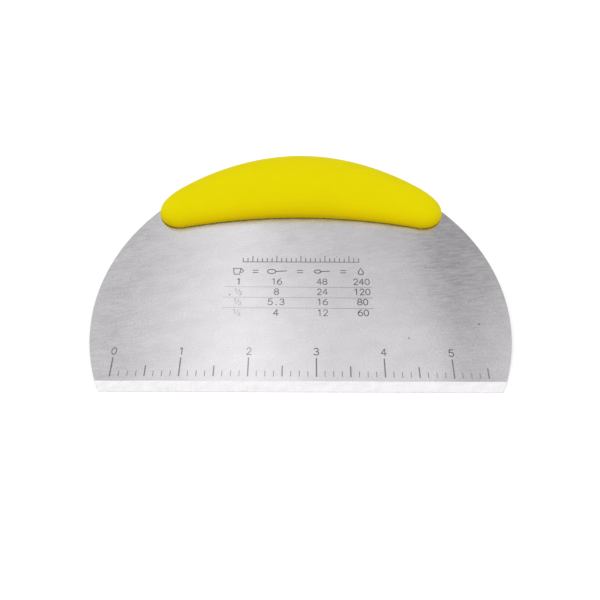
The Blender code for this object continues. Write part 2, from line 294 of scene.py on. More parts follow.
def seenDirectly(tree):
    # 1 for what the camera sees, also in metal, and 0 for what only lights the object
    rays = addNode(tree, "LightPath")
    kinds = ("Is Camera Ray", "Is Glossy Ray", "Is Transmission Ray")
    return sumOf(tree, [(rays.outputs[kind], 1.0) for kind in kinds])


def addFloor():
    # A pale square that keeps the object's shadow, and reads as white
    half = studio["floorSize"] / 2
    corners = [(-half, -half, 0.0), (half, -half, 0.0), (half, half, 0.0), (-half, half, 0.0)]
    mesh = bpy.data.meshes.new("floor")
    mesh.from_pydata(corners, [], [(0, 1, 2, 3)])
    floor = addObject("floor", mesh)
    finish, tree, shader = newFinish("pale_floor", studio["floorSockets"])
    glow = mathOf(tree, "MULTIPLY", seenDirectly(tree), studio["floorGlow"])
    setInputs(shader, {"Emission Strength": glow})
    mesh.materials.append(finish)


def addSky():
    # (1 - m) * front + m * across * back, where m runs from 0 to 1 over frontReach, and below
    # it a plain white backdrop that only shows, directly and in metal. across passes from its
    # first ramp to its second over halfReach and to its third over highReach
    world = bpy.data.worlds.new("studio")
    scene.world = world
    world.use_nodes = True
    tree = world.node_tree
    direction = addNode(tree, "TexCoord").outputs["Generated"]
    x, y, z = addNode(tree, "SeparateXYZ", {"Vector": direction}).outputs
    rise = mathOf(tree, "MAXIMUM", z, studio["leastRise"])
    sideways, backwards = (mathOf(tree, "DIVIDE", part, rise) for part in (x, y))
    leans, *levels = zip(*studio["across"])
    across, halfUp, highUp = (rampOf(tree, sideways, zip(leans, level)) for level in levels)
    for upper, reach in ((halfUp, "halfReach"), (highUp, "highReach")):
        across = mixOf(tree, across, upper, rangeOf(tree, backwards, *studio[reach]))
    wall = mathOf(tree, "MULTIPLY", across, rampOf(tree, backwards, studio["back"]))
    front = rampOf(tree, backwards, studio["front"])
    share = rangeOf(tree, backwards, *studio["frontReach"])
    room = mathOf(tree, "MULTIPLY", mixOf(tree, front, wall, share), studio["level"])
    backdrop = rangeOf(tree, z, *studio["whiteBelow"], 1.0, 0.0)
    seen = mathOf(tree, "MULTIPLY", backdrop, seenDirectly(tree))
    glow = mixOf(tree, room, 1.0, seen)
    tree.links.new(glow, tree.nodes["Background"].inputs["Color"])


def addKey():
    # A soft light from above that shapes the grip and doesn't show in the steel
    data = bpy.data.lights.new("key", "AREA")
    data.size = studio["keySize"]
    data.energy = studio["keyPower"]
    key = addObject("key", data)
    aim(key, Vector(studio["keySpot"]), Vector())
    key.visible_glossy = False


addCamera()
addFloor()
addSky()
addKey()
print("camera, floor and light set up")


mapSpan = 170.0  # mm in one unit of the blade's and the grip's maps
mapMiddle = 0.5  # where x = 0 lies on them
mapFoot = 0.1  # where the cutting edge lies on the blade's
reliefStrength = 0.5

steel = {
    "dark": (0.522, 0.508, 0.525),
    "light": (0.908, 0.886, 0.911),
    "toneSpan": (-0.12, 0.48),  # tones of the dark colour and the light one
    # noises: lengths along the streaks, across them and out of the face in mm, shift, detail
    "fine": ((1.0, 0.30, 20.0), 0.0),
    "streak": ((5.0, 0.90, 20.0), 7.7),
    "mottle": ((7.0, 5.0, 20.0), 2.9),
    "cloud": ((22.0, 14.0, 20.0), 1.3),
    "warp": ((36.0, 12.0, 20.0), 3.1, 1.0),
    "wave": ((45.0, 32.0, 20.0), 4.4, 1.0),
    # how much they show in the tone
    "fineShare": 0.48,
    "streakShare": 0.20,
    "mottleShare": 0.16,
    "cloudShare": 0.20,
    "warpReach": 0.5,  # mm that the warp shifts the streaks at most
    "roughness": (0.13, 0.20),
    "matt": (0.8, 3.0),  # mm from the grip, where the wheel didn't reach and the steel is matt
    "mattRoughness": 0.11,  # how much rougher it is there
    "smoothMiddle": -8.0,  # use has smoothed the streaks around this x
    "smooth": (42.0, 62.0),  # up to this far from it
    "contrast": (0.85, 1.5),  # how much they show there and beyond
    "streakDepth": 0.00002,
    "speckTone": 0.45,
    "speckSize": 0.03,  # share of a cell's width
    "speckEdge": 0.012,  # and how far its edge fades to both sides
    "speckCells": 14.0,  # mm from cell to cell
    "speckShare": 0.25,  # share of the cells that hold one
    "waveDepth": 0.00015,  # the sheet is very slightly uneven, so the room's image wanders
    "brushTurn": 9.0,  # degrees that the brushing rises to the right
    "brushRadius": 1000.0,  # and it runs along wide arcs
    "sockets": {"Metallic": 1.0, "Anisotropic": 0.90},
}

groundSteel = {
    # painted highlight in part: these colours are brighter than the brushed face's, for the
    # strip's brighter reflection
    "dark": (0.87, 0.845, 0.875),
    "light": (1.0, 0.97, 1.0),
    "toneSpan": (0.35, 0.60),
    "fine": ((0.35, 6.0, 20.0), 0.0),
    "patch": ((5.0, 2.0, 20.0), 5.0),
    "fineShare": 0.5,  # of the tone, and the patches have the rest
    "roughness": (0.30, 0.42),
    "depth": 0.00001,
    "sockets": {"Metallic": 1.0, "Anisotropic": 0.6},
}

rubber = {
    "dark": (0.737, 0.637, 0.0),
    "light": (0.780, 0.675, 0.0),
    "toneSpan": noiseSpan,
    # painted shade: the colour is tinted warmer, then darker, where the moulding turns down to
    # the blade
    "turns": (
        (0.60, (1.0, 1.0, 1.0)),
        (0.75, (0.98, 0.965, 1.0)),
        (0.84, (0.965, 0.935, 1.0)),
        (0.90, (0.955, 0.905, 1.0)),
        (0.94, (0.95, 0.86, 1.0)),
        (0.98, (0.94, 0.81, 1.0)),
        (1.0, (0.72, 0.60, 1.0)),
    ),
    "fine": ((0.28, 0.28, 0.28), 0.0, 2.0),
    "patch": ((14.0, 9.0, 9.0), 2.0),
    "fineShare": 0.4,
    "roughness": (0.52, 0.62),
    "depth": 0.00001,
    "sockets": {"Specular IOR Level": 0.03},
}

etching = {
    "dark": 0.13,
    "worn": 0.68,
    "patch": (1.6, 1.6, 1.6),  # mm that the worn patches are long
    "uneven": 0.35,  # how unevenly the marks have worn
    "sockets": {"Metallic": 1.0, "Roughness": 0.42},
}

# metallic or not, lengths of the noise in mm, tones and roughness
plainLooks = {
    "cut_rim": (1.0, (0.5, 0.5, 3.0), (0.62, 0.86), (0.28, 0.42)),
    "rivet_steel": (1.0, (0.6, 0.6, 4.0), (0.46, 0.62), (0.24, 0.38)),
    "core_plastic": (0.0, (6.0,) * 3, ((0.66, 0.65, 0.62), (0.74, 0.73, 0.70)), (0.45, 0.55)),
}


def brushMap(tree, shader, turn):
    # The steel scatters light across its streaks: turn is 0.25 for streaks along the map's
    # first axis and 0 for ones along its second
    tangent = addNode(tree, "Tangent", direction_type="UV_MAP", uv_map="brush")
    setInputs(shader, {"Tangent": tangent.outputs["Tangent"], "Anisotropic Rotation": turn})
    return addNode(tree, "UVMap", uv_map="brush").outputs["UV"]


def addRelief(tree, shader, height, depth):
    # Raises the surface by the field, depth in metres at 1
    inputs = {"Height": height, "Distance": depth, "Strength": reliefStrength}
    setInputs(shader, {"Normal": addNode(tree, "Bump", inputs).outputs["Normal"]})


def speckled(tree, place, colour):
    # Darkens the colour in small round specks, where a cell's random share is low enough
    inputs = {"Vector": place, "Scale": mapSpan / steel["speckCells"]}
    cells = addNode(tree, "TexVoronoi", inputs, voronoi_dimensions="2D")
    lot = addNode(tree, "SeparateColor", {"Color": cells.outputs["Color"]}).outputs[0]
    size = rangeOf(tree, lot, 0.0, steel["speckShare"], steel["speckSize"], 0.0)
    inside = mathOf(tree, "SUBTRACT", size, cells.outputs["Distance"])
    edge = steel["speckEdge"]
    tint = rangeOf(tree, inside, -edge, edge, 1.0, steel["speckTone"])
    return tintOf(tree, colour, tint)


def brushedFinish():
    # Short fine streaks and longer ones, bent by a slow warp and clearer away from the worn
    # middle, with soft clouds over them. The steel is rougher just below the grip
    finish, tree, shader = newFinish("brushed_steel", steel["sockets"])
    place = brushMap(tree, shader, 0.25)
    slow = noiseOver(tree, place, mapSpan, *steel["warp"])
    reach = steel["warpReach"] / mapSpan
    shift = {"Y": rangeOf(tree, slow, 0.0, 1.0, -reach, reach)}
    warp = addNode(tree, "CombineXYZ", shift).outputs[0]
    bent = addNode(tree, "VectorMath", {0: place, 1: warp}).outputs[0]
    fine, streak, cloud = noisesOf(tree, bent, mapSpan, steel, "fine", "streak", "cloud")
    mottle, wave = noisesOf(tree, place, mapSpan, steel, "mottle", "wave")

    # A noise's mean is about a half, so the lines are centred around none
    both = sumOf(tree, [(fine, steel["fineShare"]), (streak, steel["streakShare"])])
    lines = mathOf(tree, "SUBTRACT", both, (steel["fineShare"] + steel["streakShare"]) / 2)
    along = addNode(tree, "SeparateXYZ", {"Vector": place}).outputs["X"]
    middle = mapMiddle + steel["smoothMiddle"] / mapSpan
    aside = mathOf(tree, "ABSOLUTE", mathOf(tree, "SUBTRACT", along, middle))
    ends = [distance / mapSpan for distance in steel["smooth"]]
    contrast = rangeOf(tree, aside, *ends, *steel["contrast"])
    clouds = [(mottle, steel["mottleShare"]), (cloud, steel["cloudShare"])]
    tone = sumOf(tree, [(lines, contrast), *clouds])
    colour = rampOf(tree, tone, zip(steel["toneSpan"], (steel["dark"], steel["light"])))

    below = addNode(tree, "Attribute", attribute_name="belowGrip").outputs["Fac"]
    matt = rangeOf(tree, below, *steel["matt"], steel["mattRoughness"], 0.0)
    rough = mathOf(tree, "ADD", rangeOf(tree, streak, *noiseSpan, *steel["roughness"]), matt)
    setInputs(shader, {"Base Color": speckled(tree, place, colour), "Roughness": rough})
    share = steel["waveDepth"] / steel["streakDepth"]
    height = sumOf(tree, [(fine, 0.5), (streak, 0.5), (wave, share)])
    addRelief(tree, shader, height, steel["streakDepth"])
    return finish


def grained(tree, shader, place, unit, look):
    # Two noises make the tone, and the fine one the roughness and the relief too
    fine, patch = noisesOf(tree, place, unit, look, "fine", "patch")
    tone = sumOf(tree, [(fine, look["fineShare"]), (patch, 1 - look["fineShare"])])
    setInputs(shader, {"Roughness": rangeOf(tree, fine, *noiseSpan, *look["roughness"])})
    addRelief(tree, shader, fine, look["depth"])
    return rampOf(tree, tone, zip(look["toneSpan"], (look["dark"], look["light"])))


def groundFinish():
    # Short grinding marks that run up from the cutting edge, on colours that are partly a painted
    # highlight
    finish, tree, shader = newFinish("ground_steel", groundSteel["sockets"])
    place = brushMap(tree, shader, 0.0)
    # painted highlight in part: the strip's colours are set brighter than the face's
    setInputs(shader, {"Base Color": grained(tree, shader, place, mapSpan, groundSteel)})
    return finish


def plainFinish(name, metallic, lengths, tones, roughness):
    # One noise over the object's own coordinates gives both the tone and the roughness
    finish, tree, shader = newFinish(name, {"Metallic": metallic})
    place = addNode(tree, "TexCoord").outputs["Object"]
    spots = noiseOver(tree, place, 1 / millimetre, lengths)
    colour = rampOf(tree, spots, zip(noiseSpan, tones))
    rough = rangeOf(tree, spots, *noiseSpan, *roughness)
    setInputs(shader, {"Base Color": colour, "Roughness": rough})
    return finish


def rubberFinish():
    # Matt yellow with a fine moulded grain and very faint larger patches of tone, with painted
    # shade towards the underside. The wrap map's second axis runs from 0 on the top of the
    # moulding to 1 on its underside
    finish, tree, shader = newFinish("soft_rubber", rubber["sockets"])
    place = addNode(tree, "TexCoord").outputs["Object"]
    wrap = addNode(tree, "UVMap", uv_map="wrap").outputs["UV"]
    around = addNode(tree, "SeparateXYZ", {"Vector": wrap}).outputs["Y"]
    colour = grained(tree, shader, place, 1 / millimetre, rubber)
    # painted shade: the base colour gets warmer, then darker, towards the underside by the slot
    tint = rampOf(tree, around, rubber["turns"])
    setInputs(shader, {"Base Color": tintOf(tree, colour, tint)})
    return finish


def etchedFinish():
    # Dark oxide that gives way to bare metal where the mark has worn
    finish, tree, shader = newFinish("etched_marks", etching["sockets"])
    place = addNode(tree, "TexCoord").outputs["Object"]
    patch = noiseOver(tree, place, 1 / millimetre, etching["patch"])
    fade = addNode(tree, "Attribute", attribute_name="fade").outputs["Fac"]
    uneven = mathOf(tree, "SUBTRACT", patch, 0.5)
    wear = mathOf(tree, "MULTIPLY_ADD", uneven, etching["uneven"], fade)
    colour = rampOf(tree, wear, ((0.0, etching["dark"]), (1.0, etching["worn"])))
    setInputs(shader, {"Base Color": colour})
    return finish


brushedSteel = brushedFinish()
groundStrip = groundFinish()
softRubber = rubberFinish()
etchedMarks = etchedFinish()
cutRim, rivetSteel, corePlastic = (plainFinish(name, *look) for name, look in plainLooks.items())
print("finishes made")


blade = {
    "arcRadius": 81.8,
    "arcHeight": 35.3,  # the arc's centre above the cutting edge
    "thickness": 1.0,
    "edgeThickness": 0.3,
    "cornerRadius": 0.8,
    "stripHeight": 4.05,
    "stripWave": 0.10,
    "stripWaves": ((1.0, 9.0, 0.6), (0.6, 4.1, 2.0), (0.4, 17.0, 0.0)),  # share, length, shift
    "crispness": 0.06,  # half width of the turn from the face into the ground strip
    "rimRadius": 0.12,
    "rimTurns": (30, 60, 90),
    "cornerShare": 0.985,  # share of the half width where the edge's round corner begins
    "columns": (31, 7, 8),  # from the middle to the tang's end, to the corner and to the rim
    "stripRows": (0.0, 0.08, 0.3, 0.5, 0.7, 0.88),
    "faceRows": 64,
    "tangRows": 10,
}

tang = {
    "cover": 5.0,  # rubber above it
    "endMargin": 2.3,
    "shoulderDepth": 1.3,
    "rivetMargin": 17.0,
    "rivetHoleRadius": 2.1,
}

grip = {
    "cover": 4.1,  # grip above the top of the blade's arc
    "height": 36.9,
    "lobeRadius": 9.5,
    "lobeDrop": 33.4,  # from the grip's top down to the lobes' centres
    "lobeInset": 7.7,  # from the blade's arc in to the lobes' centres
    "thickness": 18.0,
    "lobeThickness": 13.6,
    "roundness": 2.4,  # exponent of the section, 2 would be an ellipse
    "skin": 2.0,
    "slotGap": 0.3,
    "slotFoot": 60.0,  # height where the slot's outline starts, below the lobes
    "slotSteps": (40, 90),  # up its sides and over its top
    "lipRadius": 0.45,
    "lipFacing": 0.6,  # the lips are where the skin's normal leans up less than this
    "lipTurn": 7.0,  # degrees from the underside with close steps, for the lips
    "lipSteps": 14,
    "halfSteps": 64,
    # steps along the grip and round each end, of the skin's outside and its inside
    "outerSteps": (150, 26),
    "innerSteps": (90, 14),
    "innerTurns": 72,
    "besideRise": 0.6,  # beside a lobe the distance from the grip counts this much
}


def workLayout():
    # The grip's top is a long arc that touches both lobes' circles: its centre height is
    # (a² - x² - y²) / (2 (a - y)) for the lobe's centre (x, y) and a = top - lobe radius.
    # Its underside is one of the radius (x² + h² - r²) / (2 (r - h)) for a lobe of the radius
    # r whose centre lies h above it. The blade's arc runs into a lobe where the circles cross
    radius, low = blade["arcRadius"], blade["arcHeight"]
    lobeRadius = grip["lobeRadius"]
    top = low + radius + grip["cover"]
    bottom = top - grip["height"]
    lobeY = top - grip["lobeDrop"]
    lobeX = math.sqrt((radius - grip["lobeInset"]) ** 2 - (lobeY - low) ** 2)
    inner = top - lobeRadius
    topArc = (inner**2 - lobeX**2 - lobeY**2) / (2 * (inner - lobeY))
    rise = lobeY - bottom
    lowRadius = (lobeX**2 + rise**2 - lobeRadius**2) / (2 * (lobeRadius - rise))
    span = math.hypot(lobeX, lobeY - low)
    along = (span**2 + radius**2 - lobeRadius**2) / (2 * span)
    across = math.sqrt(radius**2 - along**2)
    entry = low + (along * (lobeY - low) - across * lobeX) / span
    return {
        "lobe": (lobeX, lobeY),
        "topArcHeight": topArc,
        "topArcRadius": top - topArc,
        "lowArcHeight": bottom - lowRadius,
        "lowArcRadius": lowRadius,
        "shoulderHeight": entry + tang["shoulderDepth"],
        "tangHalfWidth": lobeX - tang["endMargin"],
        "tangRadius": top - topArc - tang["cover"],
        "halfSlot": blade["thickness"] / 2 + grip["slotGap"],
    }


layout = workLayout()


def gripSection(x, inset):
    # Top and bottom heights of the outline, and the half thickness: long arcs that run into
    # round lobes, as centre height + sqrt(r² - x²)
    lobeX, lobeY = layout["lobe"]
    side = np.abs(x)
    topRadius = layout["topArcRadius"] - inset
    lowRadius = layout["lowArcRadius"] + inset
    lobeRadius = grip["lobeRadius"] - inset
    rise = np.sqrt(np.maximum(lobeRadius**2 - (side - lobeX) ** 2, 0.0))
    onTop = side < lobeX * topRadius / (topRadius - lobeRadius)
    onLow = side < lobeX * lowRadius / (lowRadius + lobeRadius)
    top = np.where(onTop, layout["topArcHeight"] + np.sqrt(topRadius**2 - x**2), lobeY + rise)
    low = np.where(onLow, layout["lowArcHeight"] + np.sqrt(lowRadius**2 - x**2), lobeY - rise)
    thicker = (grip["thickness"] - grip["lobeThickness"]) / 2
    swell = thicker * np.cos(np.pi * side / (2 * lobeX)) ** 2
    past = np.clip((side - lobeX) / lobeRadius, 0.0, 1.0)
    lobeHalf = grip["lobeThickness"] / 2 - inset
    half = np.where(side < lobeX, lobeHalf + swell, lobeHalf * np.sqrt(1 - past**2))
    return top, low, half


def belowGrip(x, y):
    # How far a point lies below the grip's lower edge, and more for each mm past a lobe's centre
    lobeX = layout["lobe"][0]
    reach = lobeX + grip["lobeRadius"]
    past = np.maximum(np.abs(x) - lobeX, 0.0)
    return gripSection(np.clip(x, -reach, reach), 0.0)[1] - y + grip["besideRise"] * past


def bladeHalfWidth(height, grow=0.0):
    # Half the chord of the blade's circle at this height
    radius = blade["arcRadius"] + grow
    return np.sqrt(radius**2 - (height - blade["arcHeight"]) ** 2)


def tangTop(x, grow=0.0):
    # Height of the tang's own circle at x
    return layout["topArcHeight"] + np.sqrt((layout["tangRadius"] + grow) ** 2 - x**2)


def rivetSpots():
    # Halfway between the grip's top and underside, at the middle and near the tang's ends
    outer = layout["tangHalfWidth"] - tang["rivetMargin"]
    x = np.array((-outer, 0.0, outer))
    top, low = gripSection(x, 0.0)[:2]
    return np.column_stack((x, (top + low) / 2))


def stripLine(x):
    # The grinding's upper limit: level, with a few slow sine waves of a tenth of a millimetre
    waves = [share * np.sin(x / length + shift) for share, length, shift in blade["stripWaves"]]
    return blade["stripHeight"] + blade["stripWave"] * sum(waves) / 2


def faceHeight(x, y):
    # The front face is flat above the strip and falls evenly to the thin edge below it
    slope = (blade["thickness"] - blade["edgeThickness"]) / blade["stripHeight"]
    return blade["thickness"] / 2 - slope * np.maximum(stripLine(x) - y, 0.0)


def bladeColumns():
    # Shares of the half width, close together at both ends, where the corner and the rim turn
    shoulder = layout["tangHalfWidth"] / float(bladeHalfWidth(layout["shoulderHeight"]))
    stops = (0.0, shoulder, blade["cornerShare"], 1.0)
    parts = zip(stops, stops[1:], blade["columns"])
    right = np.concatenate([np.linspace(low, high, count)[1:] for low, high, count in parts])
    return np.concatenate((-right[::-1], (0.0,), right)), shoulder


def bladeRows(share):
    # Rows of the strip run from the edge with its round corners up to the strip's line,
    # rows of the face from there to the shoulder: x is a share of the chord at each height
    corner, cornerShare = blade["cornerRadius"], blade["cornerShare"]
    lowering = blade["arcHeight"] - corner
    cornerX = math.sqrt((blade["arcRadius"] - corner) ** 2 - lowering**2)
    sweep = math.pi / 2 - math.atan2(lowering, cornerX)
    side = np.abs(share)
    past = np.clip((side - cornerShare) / (1 - cornerShare), 0.0, 1.0)
    turn = -math.pi / 2 + past * sweep
    lowX = np.where(past > 0, cornerX + corner * np.cos(turn), cornerX * side / cornerShare)
    lowX = lowX * np.sign(share)
    lowY = np.where(past > 0, corner + corner * np.sin(turn), 0.0)
    lineY = stripLine(share * bladeHalfWidth(blade["stripHeight"]))
    lineX = share * bladeHalfWidth(lineY)
    crisp = blade["crispness"] / blade["stripHeight"]
    rise = np.array((*blade["stripRows"], 1.0 - crisp))[:, None]
    y = lowY * (1 - rise) + lineY * rise
    x = lowX * (1 - rise) + lineX * rise
    x = x + share * (bladeHalfWidth(y[:, -1:]) - x[:, -1:])
    top = layout["shoulderHeight"]
    climb = np.linspace(0, 1, blade["faceRows"])
    climb = np.insert(climb, 1, blade["crispness"] / top)[:, None]
    faceY = lineY + climb * (top - lineY)
    faceX = share * bladeHalfWidth(faceY)
    return np.concatenate((x, faceX)), np.concatenate((y, faceY)), len(rise)


def bladeFace():
    # The face as a flat net: rows from the edge up to the shoulder and a narrower grid for the
    # tang. Its outline goes round with the steel on its left
    share, shoulder = bladeColumns()
    x, y, stripRows = bladeRows(share)
    rows, columns = x.shape
    inner = np.flatnonzero(np.abs(share) <= shoulder + 1e-9)
    tangRows = blade["tangRows"]
    tangX = np.repeat(x[-1:, inner], tangRows, axis=0)
    climb = np.linspace(0, 1, tangRows + 1)[1:, None]
    tangY = layout["shoulderHeight"] + climb * (tangTop(tangX) - layout["shoulderHeight"])
    flat = np.column_stack((np.append(x, tangX), np.append(y, tangY)))
    grid = np.arange(rows * columns).reshape(rows, columns)
    tangIndex = np.append(grid[-1, inner], np.arange(tangX.size) + grid.size)
    tangGrid = tangIndex.reshape(tangRows + 1, len(inner))
    faces = np.vstack((gridQuads(rows, columns), tangIndex[gridQuads(*tangGrid.shape)]))
    inStrip = np.arange(len(faces)) < stripRows * (columns - 1)
    rightSide = (grid[0, :-1], grid[:-1, -1], grid[-1, : inner[-1] : -1])
    tangSides = (tangGrid[:-1, -1], tangGrid[-1, :0:-1], tangGrid[:0:-1, 0])
    leftSide = (grid[-1, inner[0] : 0 : -1], grid[:0:-1, 0])
    return flat, faces, inStrip, np.concatenate((*rightSide, *tangSides, *leftSide))


def makeBlade():
    # Both faces are drawn in by the rim's radius r. The rim is a quarter turn from the front
    # to the side, the side, and a quarter turn to the back: at the turn t it lies
    # r (1 - sin t) inside the outline and r (1 - cos t) below its face
    flat, faces, inStrip, loop = bladeFace()
    outline = flat[loop]
    along = np.roll(outline, -1, axis=0) - np.roll(outline, 1, axis=0)
    along /= np.linalg.norm(along, axis=1)[:, None]
    inward = np.column_stack((-along[:, 1], along[:, 0]))
    radius, turns = blade["rimRadius"], blade["rimTurns"]
    back = -blade["thickness"] / 2
    flat[loop] = outline + radius * inward
    front = np.column_stack((flat, faceHeight(flat[:, 0], flat[:, 1])))
    rear = np.insert(flat, 2, back, axis=1)
    rings = []
    for side, sideTurns in ((1, turns), (-1, turns[::-1])):
        for turn in np.radians(sideTurns):
            ring = outline + radius * (1 - math.sin(turn)) * inward
            level = faceHeight(ring[:, 0], ring[:, 1]) if side > 0 else back
            height = level - side * radius * (1 - math.cos(turn))
            rings.append(np.column_stack((ring, np.broadcast_to(height, len(ring)))))
    points = np.concatenate((front, rear, *rings))
    count, size = len(front), len(loop)
    ringIndex = [2 * count + n * size + np.arange(size) for n in range(len(rings))]
    ringIndex = [loop, *ringIndex, loop + count]
    rimFaces = [
        np.column_stack((a, b, np.roll(b, -1), np.roll(a, -1)))
        for a, b in zip(ringIndex, ringIndex[1:])
    ]
    allFaces = np.concatenate((faces, faces[:, ::-1] + count, *rimFaces))
    finishOf = np.append(inStrip, np.repeat((0, 2), (len(faces), len(rimFaces) * size)))

    # The brushing's lines rise to the right and bend: x tan(turn) - x² / (2 radius)
    x, y = points[:, 0], points[:, 1]
    rise = x * math.tan(math.radians(steel["brushTurn"])) - x**2 / (2 * steel["brushRadius"])
    brushUv = np.column_stack((x / mapSpan + mapMiddle, (y - rise) / mapSpan + mapFoot))
    finishes = (brushedSteel, groundStrip, cutRim)
    mesh = buildMesh("blade_plate", points, allFaces, finishes, finishOf, "brush", brushUv)
    addField(mesh, "belowGrip", belowGrip(x, y))
    piece = addPiece("blade_plate", mesh)
    carve(piece, [addPin(f"rivet_hole_{n}", spot) for n, spot in enumerate(rivetSpots())])
    return piece


def addPin(name, spot, sides=48, reach=3.0):
    # An upright prism with a round outline
    turns = np.linspace(0, 2 * math.pi, sides, endpoint=False)
    circle = np.column_stack((np.cos(turns), np.sin(turns))) * tang["rivetHoleRadius"] + spot
    return addPrism(name, circle, -reach, reach)


def addPrism(name, outline, low, high):
    # The outline at two heights, with side faces between them and two caps
    count = len(outline)
    points = np.concatenate([np.insert(outline, 2, z, axis=1) for z in (low, high)])
    sides = gridQuads(2, count, closed=True).tolist()
    caps = [list(range(count))[::-1], list(range(count, 2 * count))]
    return addPiece(name, buildMesh(name, points, sides + caps, ()))


bladePlate = makeBlade()
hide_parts("blade")
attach(bladePlate, "root")
print("blade made:", len(bladePlate.data.polygons), "faces")


def gripForm(inset, turns, lengthSteps, endSteps):
    # Upright sections along x, each a rounded oval: y and z go as powers of sine and cosine.
    # They lie evenly between the lobes' centres and by the sine of a quarter turn past them
    lobeX, lobeY = layout["lobe"]
    quarter = np.linspace(0, np.pi / 2, endSteps + 1)
    ends = lobeX + (grip["lobeRadius"] - inset) * np.sin(quarter)
    x = np.concatenate((-ends[:0:-1], np.linspace(-lobeX, lobeX, lengthSteps), ends[1:]))
    x = x[1:-1, None]
    top, low, half = gripSection(x, inset)
    power = 2 / grip["roundness"]
    rise, out = (np.sign(wave) * np.abs(wave) ** power for wave in (np.sin(turns), np.cos(turns)))
    y = (top + low) / 2 + (top - low) / 2 * rise
    ring = np.stack((np.broadcast_to(x, y.shape), y, half * out), axis=-1)
    poles = np.array([(sign * ends[-1], lobeY, 0.0) for sign in (-1, 1)])
    return ring, poles


def closedForm(ring, poles, start=0):
    # Quads between neighbouring sections, and a fan round the pole at each end
    rows, columns = ring.shape[:2]
    points = np.concatenate((ring.reshape(-1, 3), poles))
    quads = gridQuads(rows, columns, closed=True, start=start).tolist()
    first = np.arange(columns)
    last = first + (rows - 1) * columns
    leftPole, rightPole = (np.full(columns, rows * columns + n) for n in (0, 1))
    fanLeft = np.column_stack((np.roll(first, -1), first, leftPole)) + start
    fanRight = np.column_stack((last, np.roll(last, -1), rightPole)) + start
    return points, quads + fanLeft.tolist() + fanRight.tolist()


def lipTurns():
    # Turns round the section, close together at the underside, where the slot's lips are rounded
    lip = math.radians(grip["lipTurn"])
    near = np.linspace(0, lip, grip["lipSteps"], endpoint=False)
    far = np.linspace(lip, math.pi, grip["halfSteps"], endpoint=False)
    half = np.concatenate((near, far))
    return np.concatenate((half, 2 * np.pi - np.append(half[1:], np.pi)[::-1])) - np.pi / 2


def roundLips(ring):
    # Sinks the skin beside the slot along its own normal, r - sqrt(r² - (r - d)²) deep at
    # the distance d from the slot, where the blade is inside it. inBlade grows from 0 to 1
    # over the millimetre round the blade's arc
    stepX = np.gradient(ring, axis=0)
    stepTurn = np.roll(ring, -1, axis=1) - np.roll(ring, 1, axis=1)
    normal = np.cross(stepX, stepTurn)
    normal /= np.maximum(np.linalg.norm(normal, axis=-1), 1e-9)[..., None]
    radius = grip["lipRadius"]
    beside = np.clip(np.abs(ring[..., 2]) - layout["halfSlot"], 0.0, radius)
    drop = radius - np.sqrt(radius**2 - (radius - beside) ** 2)
    reach = blade["arcRadius"] - np.hypot(ring[..., 0], ring[..., 1] - blade["arcHeight"])
    inBlade = np.clip(reach + 0.5, 0.0, 1.0)
    onLip = normal[..., 1] < grip["lipFacing"]
    return ring - normal * (drop * inBlade * onLip)[..., None]


def wrapPlace(ring, poles, turns):
    # Along the grip by x, and round it by (1 - sin t) / 2: 0 on the top, 1 on the underside
    across = np.broadcast_to((1 - np.sin(turns)) / 2, ring.shape[:2])
    along = np.append(ring[..., 0], poles[:, 0]) / mapSpan + mapMiddle
    return np.column_stack((along, np.append(across, (0.5, 0.5))))


def slotOutline():
    # The blade's outline with the gap round it, from below the lobes up over the tang
    gap = grip["slotGap"]
    sideSteps, topSteps = grip["slotSteps"]
    heights = np.linspace(grip["slotFoot"], layout["shoulderHeight"] + gap, sideSteps)
    side = np.column_stack((bladeHalfWidth(heights, gap), heights))
    halfTang = layout["tangHalfWidth"] + gap
    x = np.linspace(halfTang, -halfTang, topSteps)
    crown = np.column_stack((x, tangTop(x, gap)))
    foot = np.array([(halfTang, heights[-1])])
    mirror = np.array([-1.0, 1.0])
    return np.concatenate((side, foot, crown, foot * mirror, side[::-1] * mirror))


def makeGrip():
    # The outside and, turned inside out, the same form smaller by the skin. The slot is cut out
    outerTurns = lipTurns()
    innerTurns = np.linspace(-np.pi / 2, 1.5 * np.pi, grip["innerTurns"], endpoint=False)
    outer, outerPoles = gripForm(0.0, outerTurns, *grip["outerSteps"])
    inner, innerPoles = gripForm(grip["skin"], innerTurns, *grip["innerSteps"])
    outerPoints, outerFaces = closedForm(roundLips(outer), outerPoles)
    innerPoints, innerFaces = closedForm(inner, innerPoles, start=len(outerPoints))
    points = np.concatenate((outerPoints, innerPoints))
    faces = outerFaces + [face[::-1] for face in innerFaces]
    forms = ((outer, outerPoles, outerTurns), (inner, innerPoles, innerTurns))
    wrapUv = np.concatenate([wrapPlace(*form) for form in forms])
    mesh = buildMesh("grip_skin", points, faces, (softRubber,), None, "wrap", wrapUv)
    piece = addPiece("grip_skin", mesh)
    half = layout["halfSlot"]
    carve(piece, [addPrism("grip_slot", slotOutline(), -half, half)])
    return piece


gripSkin = makeGrip()
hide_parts("grip")
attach(gripSkin, "root")
print("grip made:", len(gripSkin.data.polygons), "faces")


marks = {
    "rise": 0.012,  # mm above the face
    "sink": 0.02,
    "stagger": 0.0006,  # mm that neighbours differ in height, so that crossings stay clean
    "levels": 8,
    "tipTurns": (80.0, 55.0, 30.0),  # steps of a stroke's round end
    "advance": 0.80,  # from digit to digit, as a share of their height
    "uneven": 0.08,  # how much the digits' wear differs
    "seed": 11,
    "wear": 0.32,  # a spot that hands have worn, left of the ruler's middle
    "wearSpot": -21.0,
    "wearReach": 13.0,
}

